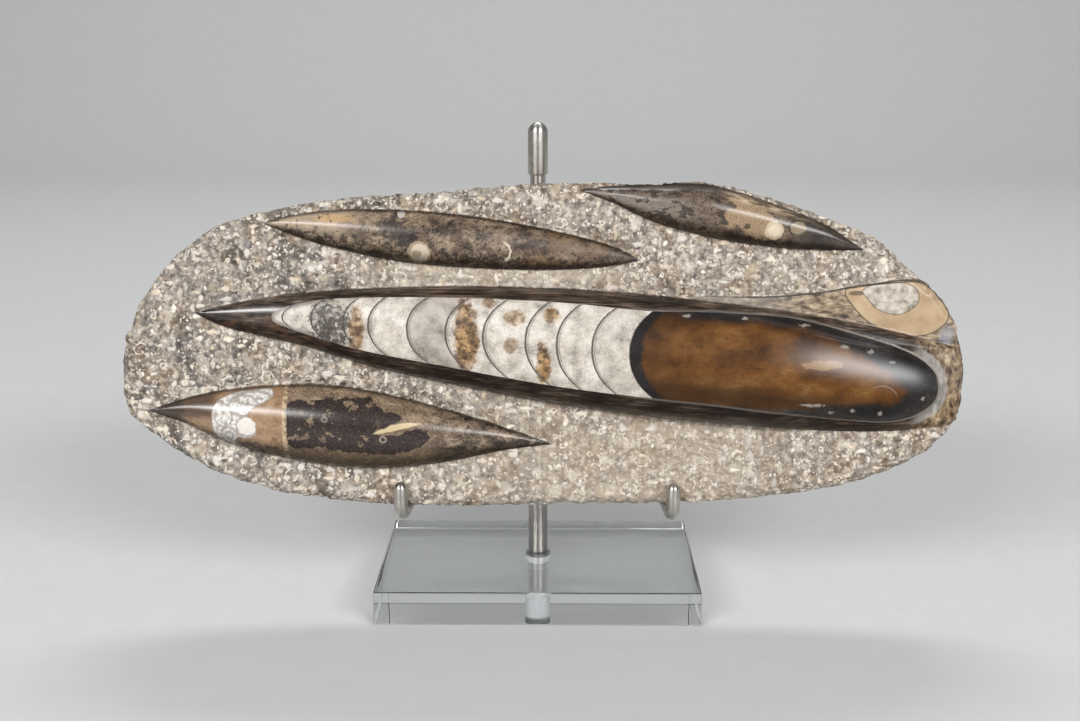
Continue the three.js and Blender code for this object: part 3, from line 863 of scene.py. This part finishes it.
def coil_look(place, colour, rough, polished):
    """The polished wedge above the body chamber, with its tan field and white coil."""
    right, up = place.right, place.up
    wedge, field, coil = (place.field(name) for name in ("wedge", "coil_field", "coil"))
    wave = (noise(place, 4, 3, shift=13.0) - 0.5) * 1.4
    free = 1 - polished
    mottle = noise(place, 3.4, 5, 0.7, (2.2, 1, 1), 17.0)
    ground = ramp(mottle, (0.36, 58, 48, 40), (0.47, 126, 108, 88), (0.58, 176, 156, 130),
                  (0.72, 222, 206, 182))
    ground = coats(ground, (step(right, 165, 125) * 0.55, 136, 130, 122))
    in_wedge = step(wedge + wave, -0.4, 0.4) * free
    colour = blend(in_wedge, colour, ground)
    tan = ramp(noise(place, 12, 4, shift=19.0), (0.35, 170, 144, 112), (0.65, 196, 170, 138))
    colour = blend(step(field + wave * 0.4, -0.3, 0.3) * free, colour, tan)
    in_coil = step(coil + wave * 0.5, -0.25, 0.25) * free
    cloud = noise(place, 4.5, 4, shift=23.0)
    white = ramp(cloud, (0.34, 128, 118, 106), (0.46, 178, 169, 155), (0.6, 202, 193, 179),
                 (0.75, 220, 213, 200))
    colour = blend(in_coil, colour, white)
    whorl = whorl_lines(right + wave * 1.6, up + wave * 1.4, (201, 33), 1.7)
    lines = [(step(abs(distance + wave * 0.4), width, width * 0.4) * free * strength, 66, 54, 44)
             for distance, width, strength in ((field, 0.5, 0.85), (coil, 0.45, 0.6))]
    top_line = step(abs(wedge + wave * 0.5), 0.8, 0.3) * free * step(right, 86, 130)
    colour = coats(colour, (whorl * in_coil * 0.4, 140, 128, 114),
                   (spot(place, (184, 33), (5, 1.6), cloud, 0.5) * free * 0.8, 84, 70, 56),
                   (spot(place, (237, 8), (5, 6), cloud, 0.6) * free * 0.7, 150, 150, 156), *lines,
                   (top_line * 0.8, 44, 36, 30))
    return colour, rough - in_wedge * 0.42


def whorl_lines(right, up, centre, stretch):
    """A spiral line round a centre, for coiled shells cut through."""
    x = (right - centre[0]) / stretch
    y = up - centre[1]
    distance = operate("SQRT", x * x + y * y)
    turn = operate("ARCTAN2", y, x) / (2 * math.pi)
    spiral = operate("FRACT", distance / 4.6 - turn)
    return step(abs(spiral - 0.5), 0.12, 0.03)


def mottled(place, size=7.0, shift=0.0, grain=0.42):
    """A small shell's mottled brown, with the two noises that it is made of."""
    cloud = noise(warp(place, 5, 4, shift=shift), size, 6, 0.7, (1.6, 1, 1), shift)
    fleck = noise(place, 1.1, 4, 0.75, shift=shift + 4)
    colour = ramp(cloud * (1.12 - grain) + fleck * grain, (0.45, 38, 31, 27), (0.52, 82, 68, 57),
                  (0.58, 118, 101, 85), (0.65, 148, 129, 108), (0.76, 188, 169, 146))
    return colour, cloud, fleck


def small_shell(name, look):
    """Any of the three smaller shells: the rock outside, its own look inside."""
    shader = Shader("rock_" + name)
    place = shader.face()
    colour, height = rock_look(place)
    wave = noise(place, 3.0, shift=0.4) - 0.5
    inside = place.field(name)
    across = place.field(name + "_across")
    polished = step(inside + wave * 0.9, -0.5, 0.5)
    shell_colour, shell_rough = look(place, across)
    # Painted shade: each small shell is darkened near its outline and over its lower flank.
    edge = most(step(inside, 2.4, 0.0), step(across + wave * 0.4, -0.35, -0.9) * 0.8)
    colour = blend(polished, colour, coats(shell_colour, (edge * 0.9, 34, 27, 22)))
    top_edge = step(across, 0.62, 0.9)
    shell_rough = shell_rough + top_edge * 0.4
    gloss = 0.5 - most(top_edge, step(across, -0.2, -0.7)) * 0.42
    shader.set(specular_ior_level=gloss + step(place.right, -140, -190) * 0.3)
    rough = ROCK_ROUGH + polished * (shell_rough - ROCK_ROUGH)
    return finish_rock(shader, colour, rough, height * (1 - polished))


def upper_left_look(place, across):
    right = place.right
    colour, cloud, fleck = mottled(place, shift=31.0)
    # The upper half of the left end is paler: partly the shell's own pale colour, partly a painted highlight
    # along its crest.
    pale = step(right, -92, -128) * step(across, -0.5, 0.1)
    tans = [(spot(place, centre, radii, cloud, 1.1) * 0.5, 146, 114, 82)
            for centre, radii in (((12, 63), (9, 8)), ((29, 57), (10, 5)), ((-2, 52), (12, 4)))]
    low = step(across, 0.2, -0.9) * 0.08
    black = step(noise(place, 3.4, 5, 0.75, shift=35.0) + low, 0.55, 0.61)
    crescent = step(abs(disc(place, (-24, 57), 6.5) - 0.95), 0.14, 0.05) * step(right, -23, -20)
    marks = discs(place, ((-70.5, 56.5), 6.8, 1.0, 0.9, 170, 148, 122),
                  ((-70, 56.5), 5.2, 1.0, 0.9, 208, 194, 174), ((-72, 55.8), 2.0, 1.3, 0.7, 136, 118, 98),
                  ((-81, 78.5), 2.2, 1.0, 0.9, 190, 180, 170))
    colour = coats(colour, (pale * (0.75 - cloud * 0.5), 204, 182, 156),
                   (spot(place, (-84, 69), (12, 9), cloud, 0.9) * 0.8, 54, 47, 48), *tans,
                   (spot(place, (-120, 76), (12, 2.4), fleck, 0.8) * 0.6, 196, 158, 106),
                   (black * 0.8, 40, 32, 28), (step(right, -40, 10) * 0.34, 66, 52, 40),
                   (step(right, 44, 54) * 0.8, 52, 42, 34), *marks, (crescent * 0.9, 212, 196, 172))
    return colour, 0.2 + fleck * 0.12 + step(right, -70, -20) * 0.2


def upper_right_look(place, across):
    right = place.right
    colour, cloud, fleck = mottled(place, 11.0, 51.0, 0.28)
    # Painted highlight: a lighter grey band along the crest of the shell's left part.
    crest = step(abs(across + 0.1), 0.75, 0.15) * step(right, 104, 60)
    dark = step(cloud + step(across, 0.4, 1.0) * 0.1, 0.53, 0.56)
    colour = coats(colour, (crest * 0.45, 150, 142, 136), (dark * 0.85, 38, 32, 29))
    ragged = noise(place, 5, 4, 0.65, shift=57.0)
    tan = step(place.field("tan_patch") + (ragged - 0.5) * 9, -0.6, 0.6)
    colour = blend(tan * 0.95, colour, ramp(fleck, (0.3, 124, 100, 74), (0.6, 164, 140, 111)))
    colour = coats(colour, *[(spot(place, centre, radii, ragged, 1.6) * 0.8, 50, 40, 32) for centre, radii in
                             (((118, 72), (2.4, 2)), ((113, 65), (3, 2)), ((109, 84), (3, 2.6)))])
    rim = step(across, 0.5, 0.75) * step(right, 98, 112)
    streak = ramp(noise(place, 3, 4, stretch=(4, 1, 1), shift=55.0), (0.38, 86, 70, 56),
                  (0.52, 168, 146, 118), (0.68, 212, 192, 164))
    colour = blend(rim * 0.8, colour, streak)
    marks = discs(place, ((134, 69.5), 5.4, 1.0, 0.85, 204, 186, 158),
                  ((134, 69.5), 3.6, 1.0, 0.6, 222, 208, 184), ((148, 71), 3.6, 1.3, 0.7, 158, 140, 114),
                  ((156, 78), 1.8, 1.0, 0.9, 206, 200, 192))
    return coats(colour, (step(right, 138, 156) * 0.75, 48, 43, 41), *marks), 0.19 + fleck * 0.12


# Whorls drawn in the crystal: centre, radius and stretch.
WHORLS = (((-172, -45), 6.2, 1.0), ((-183, -51), 5.2, 1.0), ((-183, -51), 2.4, 1.0),
          ((-168, -29), 3.6, 3.0), ((-174, -33), 5.5, 1.6), ((-186, -39), 6.5, 0.8))


def lower_left_look(place, across):
    right, up = place.right, place.up
    colour, cloud, fleck = mottled(place, 5.0, 71.0)
    tan = ramp(cloud * 0.7 + fleck * 0.3, (0.35, 120, 90, 64), (0.6, 172, 142, 112))
    colour = blend(step(right, -146, -152), colour, tan)
    dark_top = step(right, -186, -196) * step(up + cloud * 12, -37, -33)
    tip = step(right + (cloud - 0.5) * 16, -209, -213)
    # Painted shade: the lower flank of the left part is darkened, and mottled darker still.
    low = step(up + (cloud - 0.5) * 16, -53, -58) * step(right, -196, -180)
    painted_shade_mottle = step(noise(place, 4.5, 5, 0.72, (1.6, 1, 1), 88.0), 0.46, 0.56)
    colour = coats(colour, (dark_top * 0.85, 66, 50, 36), (tip * 0.85, 56, 43, 34),
                   (low * 0.6, 66, 54, 44), (low * painted_shade_mottle * 0.85, 34, 28, 23))
    wave = (noise(place, 3, 3, shift=77.0) - 0.5) * 2.2
    around = step(right, -151, -146) * step(right, -52, -70)
    colour = blend(around * 0.4, colour, ramp(fleck, (0.36, 104, 84, 64), (0.6, 176, 152, 124)))
    lobes = (noise(place, 8, 3, shift=79.0) - 0.5) * 9 * step(right, -147, -138)
    blotch = step(place.field("blotch") + wave + lobes, -0.4, 0.4)
    holes = step(noise(place, 7.5, 5, 0.62, shift=81.0), 0.57, 0.60) * step(right, -90, -106)
    deep = ramp(fleck, (0.38, 34, 26, 24), (0.58, 58, 47, 43), (0.74, 116, 102, 92))
    colour = blend(blotch * (1 - holes * 0.8), colour, deep)
    crystal_edge = place.field("crystal") + wave * 0.5
    crystal = step(crystal_edge, -0.3, 0.3)
    ice = noise(place, 2.4, 5, 0.7, shift=85.0)
    white = ramp(ice, (0.36, 140, 132, 124), (0.48, 204, 198, 190), (0.62, 236, 232, 226))
    colour = blend(crystal, colour, white)
    band = step(abs(right + 149.5 + wave * 0.5), 1.8, 0.8) * step(ice, 0.4, 0.55)
    colour = coats(colour, (step(abs(crystal_edge), 0.7, 0.2) * 0.5, 120, 106, 92),
                   (band * 0.7, 214, 192, 158))
    for centre, radius, stretch in WHORLS:
        away = abs(disc(place, centre, radius, stretch) - 1)
        line = step(away, 0.9 / radius, 0.3 * 0.9 / radius)
        colour = blend(crystal, colour, coats(colour, (line * 0.75, 150, 142, 134)))
    along = (right + 84) / 14
    seam = abs(up + 45 - (right + 84) * 0.2 + along * along * 1.2 + wave)
    sliver = step(seam - (1 - along * along) * 1.7, 0.3, -0.3)
    colour = coats(colour, *discs(place, ((-172, -45), 5.4, 1.0, 0.85, 230, 224, 214)),
                   (sliver * 0.85, 212, 192, 152))
    for centre, radius, strength, tint in (((-126, -40), 1.9, 0.5, (172, 158, 142)),
                                           ((-92, -52), 2.2, 0.55, (184, 170, 152))):
        away = disc(place, centre, radius)
        colour = blend(step(away, 1.08, 0.92) * step(away, 0.45, 0.6) * strength, colour, tint)
    return colour, 0.19 + fleck * 0.12


def paint_rock(mesh, fields):
    """Each shell's material covers it and a margin of rock; plain rock covers the rest."""
    small = {"upper_left": upper_left_look, "upper_right": upper_right_look, "lower_left": lower_left_look}
    mesh.materials.append(plain_rock())
    mesh.materials.append(centre_shell())
    for name, look in small.items():
        mesh.materials.append(small_shell(name, look))
    reach = np.stack([np.maximum(fields["centre"], fields["wedge"]), *[fields[name] for name in small]])
    choice = np.where(reach.max(0) > -PAINT_MARGIN, reach.argmax(0) + 1, 0)
    first = read(mesh.polygons, "loop_start")
    corners = read(mesh.loops, "vertex_index")
    mesh.polygons.foreach_set("material_index", choice[corners[first]].astype(np.int32))


# ---------------------------------------------------------------- the stand

def add_piece(name, mesh, slot, *nodes):
    piece = bpy.data.objects.new(name, mesh)
    bpy.context.collection.objects.link(piece)
    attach(piece, "root")
    if nodes:
        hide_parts(*nodes)
    return piece


def skin(name, rings, material):
    """A round piece from rings of points in mm, with a flat layout along and around it."""
    mesh = bpy.data.meshes.new(name)
    build = bmesh.new()
    layout = build.loops.layers.uv.new("OFBake")
    loops = [[build.verts.new(point * MM) for point in ring] for ring in rings]
    along = [0.0]
    for before, after in zip(rings, rings[1:]):
        along.append(along[-1] + max((after[0] - before[0]).length, 0.01))
    sides = max(len(ring) for ring in rings)
    widest = max((ring[0] - ring[len(ring) // 2]).length for ring in rings) * math.pi
    size = max(along[-1], widest)
    placing = []
    for index, (low, high) in enumerate(zip(loops, loops[1:])):
        for k in range(sides):
            corners = {}
            for ring, start in ((low, along[index]), (high, along[index + 1])):
                for step in ((0, 1) if ring is low else (1, 0)):
                    turn = (k + step) if len(ring) > 1 else k + 0.5
                    corners[ring[(k + step) % len(ring)]] = (start / size, turn / sides * widest / size)
            placing.append((build.faces.new(list(corners)), corners))
    bmesh.ops.recalc_face_normals(build, faces=build.faces)
    for face, corners in placing:
        for loop in face.loops:
            loop[layout].uv = corners[loop.vert]
    build.to_mesh(mesh)
    build.free()
    mesh.materials.append(material)
    smooth(mesh)
    return mesh


def lathe(name, profile, material, sides=72):
    """A turned piece round the post's axis. The profile's points are (radius, height) in mm."""
    rings = []
    for radius, height in profile:
        count = 1 if radius < 1e-6 else sides
        rings.append([Vector((POST[0] + radius * math.cos(2 * math.pi * k / count),
                              POST[1] + radius * math.sin(2 * math.pi * k / count), height))
                      for k in range(count)])
    return skin(name, rings, material)


def smooth(mesh, angle=40):
    mesh.polygons.foreach_set("use_smooth", [True] * len(mesh.polygons))
    mesh.set_sharp_from_angle(angle=math.radians(angle))


def steel(name, turned=True):
    """Satin stainless steel, turned or drawn, so that its highlights run along each bar."""
    shader = Shader(name, metallic=1.0, anisotropic=0.9 if turned else 0.0)
    if turned:
        layout = {"direction_type": "UV_MAP", "uv_map": "OFBake"}
        shader.set(tangent=add_node(shader.tree, "Tangent", 0, **layout))
    place = shader.position()
    brush = noise(place, 0.3, 3, stretch=(30, 30, 1))
    cloud = noise(place, 6, 3, shift=3.0)
    colour = ramp(cloud * 0.6 + brush * 0.4, (0.3, 170, 165, 158), (0.7, 208, 204, 197))
    shader.set(base_color=colour, roughness=0.27 + cloud * 0.05 + brush * 0.05)
    shader.bump(brush, 0.02, 0.3)
    return shader.material


def fillet(radius, x, z, start, end, steps=4):
    """Points of a rounded corner in a profile."""
    angles = [math.radians(start + (end - start) * k / steps) for k in range(steps + 1)]
    return [(x + radius * math.cos(a), z + radius * math.sin(a)) for a in angles]


def make_post():
    metal = steel("post_steel")
    base_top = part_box("base_block")[1][2] / MM
    foot = base_top + 0.3
    tube = [(0, 39), (4.3, 39), (4.3, foot)] + fillet(0.5, 5.5, foot + 0.5, -90, 0)
    tube += fillet(0.5, 5.5, 199.5, 0, 90) + [(5, 200), (5, 100), (0, 100)]
    rod = [(0, 100.3), (4.7, 100.3), (4.7, 280), (0, 280)]
    cap = [(0, 280.3), (5, 280.3), (5, 260)] + fillet(0.5, 5.5, 260.5, -90, 0)
    cap += fillet(6, 0, 284.9, 0, 90, 14)
    for node, profile in (("post_tube", tube), ("post_rod", rod), ("post_cap", cap)):
        name = node + "_steel"
        add_piece(name, lathe(name, profile, metal), "brushed_steel", node)


def bent_bar(name, corners, bends, radius, material, sides=40):
    """A round bar with bent corners; its far end is round and its near end cut square."""
    corners = [Vector(corner) for corner in corners]
    path = [corners[0]]
    for index, bend in enumerate(bends):
        corner = corners[index + 1]
        back = (corners[index] - corner).normalized()
        on = (corners[index + 2] - corner).normalized()
        half = back.angle(on) / 2
        centre = corner + (back + on).normalized() * (bend / math.sin(half))
        first = (corner + back * (bend / math.tan(half)) - centre).normalized()
        last = (corner + on * (bend / math.tan(half)) - centre).normalized()
        path += [centre + first.slerp(last, step / 12) * bend for step in range(13)]
    path.append(corners[-1])
    tip_way = (path[-1] - path[-2]).normalized()
    spine = [(path[0], 0.0)] + [(point, radius) for point in path]
    for step in range(1, 9):
        angle = math.pi / 2 * step / 8
        spine.append((path[-1] + tip_way * radius * math.sin(angle), radius * math.cos(angle)))
    ways = [(path[1] - path[0]).normalized()] * 2
    ways += [(after - before).normalized() for before, after in zip(path, path[2:])]
    ways += [tip_way] * 9
    side_way = Vector((0, 0, 1))
    rings = []
    for (point, size), way in zip(spine, ways):
        side_way = (side_way - way * side_way.dot(way)).normalized()
        up_way = way.cross(side_way)
        count = 1 if size < 1e-4 else sides
        rings.append([point + (side_way * math.cos(2 * math.pi * k / sides)
                               + up_way * math.sin(2 * math.pi * k / sides)) * size
                      for k in range(count)])
    return skin(name, rings, material)


def make_cradle():
    metal = steel("cradle_steel")
    arm_z, radius = 64, 4.2
    for side, name in ((-1, "cradle_arm_left"), (1, "cradle_arm_right")):
        corners = [(POST[0] + side * 8.8, POST[1], arm_z), (POST[0] + side * 76.5, POST[1], arm_z),
                   (POST[0] + side * 80.5, -51, arm_z), (POST[0] + side * 80.5, -51, 85 - radius)]
        mesh = bent_bar(name + "_steel", corners, [16, 9], radius, metal)
        add_piece(name + "_steel", mesh, "brushed_steel", name)
    collar = [(6.3, 55), *fillet(0.6, 12.9, 55.6, -90, 0), *fillet(0.6, 12.9, 72.4, 0, 90), (6.3, 73),
              (6.3, 55)]
    ring = add_piece("cradle_collar_steel",
                     lathe("cradle_collar_steel", collar, steel("collar_steel", turned=False)),
                     "brushed_steel", "cradle_collar")
    ring.data.uv_layers.remove(ring.data.uv_layers["OFBake"])
    cut(ring, rod_x(4.5, 8.5, 16, arm_z))
    cut(ring, rod_x(4.5, -16, -8.5, arm_z))
    cut(ring, rod_y(2.8, 0, 16, arm_z))
    smooth(ring.data)


def rod_x(radius, low, high, z):
    return (radius, high - low, (POST[0] + (low + high) / 2, POST[1], z), (0, math.pi / 2, 0))


def rod_y(radius, low, high, z):
    return (radius, high - low, (POST[0], POST[1] + (low + high) / 2, z), (math.pi / 2, 0, 0))


def cut(piece, *cutters):
    """Cuts round bars out of a piece."""
    for radius, length, centre, turn in cutters:
        bpy.ops.mesh.primitive_cylinder_add(
            vertices=64, radius=radius * MM, depth=length * MM,
            location=[value * MM for value in centre], rotation=turn)
        tool = bpy.context.object
        modifier = piece.modifiers.new("cut", "BOOLEAN")
        modifier.operation = "DIFFERENCE"
        modifier.solver = "EXACT"
        modifier.object = tool
        bpy.context.view_layer.objects.active = piece
        bpy.ops.object.modifier_apply(modifier=modifier.name)
        bpy.data.objects.remove(tool)


def make_screws():
    shader = Shader("blackened_steel", metallic=1.0)
    grain = noise(shader.position(), 0.8, 4)
    colour = ramp(grain, (0.3, 62, 62, 64), (0.7, 92, 92, 94))
    shader.set(base_color=colour, roughness=0.35 + grain * 0.15)
    head = [(0, 10.2), (3.3, 10.2), (3.3, 9.2), *fillet(0.8, 5.7, 10.0, -90, 0), (6.5, 17.2), (4, 17.2),
            (4, 36.6), (3.6, 37), (0, 37)]
    add_piece("foot_screw_dark", lathe("foot_screw_dark", head, shader.material), "dark_screw",
              "foot_screw")
    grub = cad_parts["collar_screw"].data
    grub.materials.clear()
    grub.materials.append(shader.material)


def make_base():
    """The clear block: polished faces, small chamfers and a frosted counterbore."""
    low, high = (Vector(corner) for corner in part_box("base_block"))
    mesh = bpy.data.meshes.new("base_clear")
    build = bmesh.new()
    bmesh.ops.create_cube(build, size=1)
    bmesh.ops.scale(build, vec=high - low, verts=build.verts)
    bmesh.ops.translate(build, vec=(high + low) / 2, verts=build.verts)
    bmesh.ops.bevel(build, geom=build.edges[:], offset=0.8 * MM, segments=2, profile=0.5,
                    affect="EDGES")
    build.to_mesh(mesh)
    build.free()
    clear = Shader("clear_acrylic", transmission_weight=1.0, ior=1.49, roughness=0.0)
    haze = noise(clear.position(), 30, 3)
    clear.set(base_color=blend(haze, (0.955, 0.975, 0.985, 1), (0.965, 0.98, 0.985, 1)))
    frost = Shader("frosted_bore", roughness=0.55)
    thread = noise(frost.position(), 0.8, 4, stretch=(6, 6, 1))
    white = ramp(thread, (0.3, 236, 238, 240), (0.7, 255, 255, 255))
    # Painted shade: the top of the bore wall is mid grey instead of frosted white, so it shows no bright
    # ring through the top face.
    upper = step(parts(frost.position())[2], 12, 14.5)
    frost.set(base_color=blend(upper, white, (128, 130, 132)))
    mesh.materials.append(clear.material)
    mesh.materials.append(frost.material)
    piece = add_piece("base_clear", mesh, "clear_acrylic", "base_block")
    cut(piece, (4.3, 60, (POST[0], POST[1], 10), (0, 0, 0)),
        (7.8, 37.5, (POST[0], POST[1], -1.25), (0, 0, 0)))
    for polygon in mesh.polygons:
        away = (polygon.center.xy - Vector((POST[0] * MM, POST[1] * MM))).length
        inner = away < 7.9 * MM and 0.1 * MM < polygon.center.z < 20.4 * MM
        polygon.material_index = int(inner)
    smooth(mesh, 20)


make_camera()
make_floor()
make_lights()
make_rock()
make_post()
make_cradle()
make_screws()
make_base()
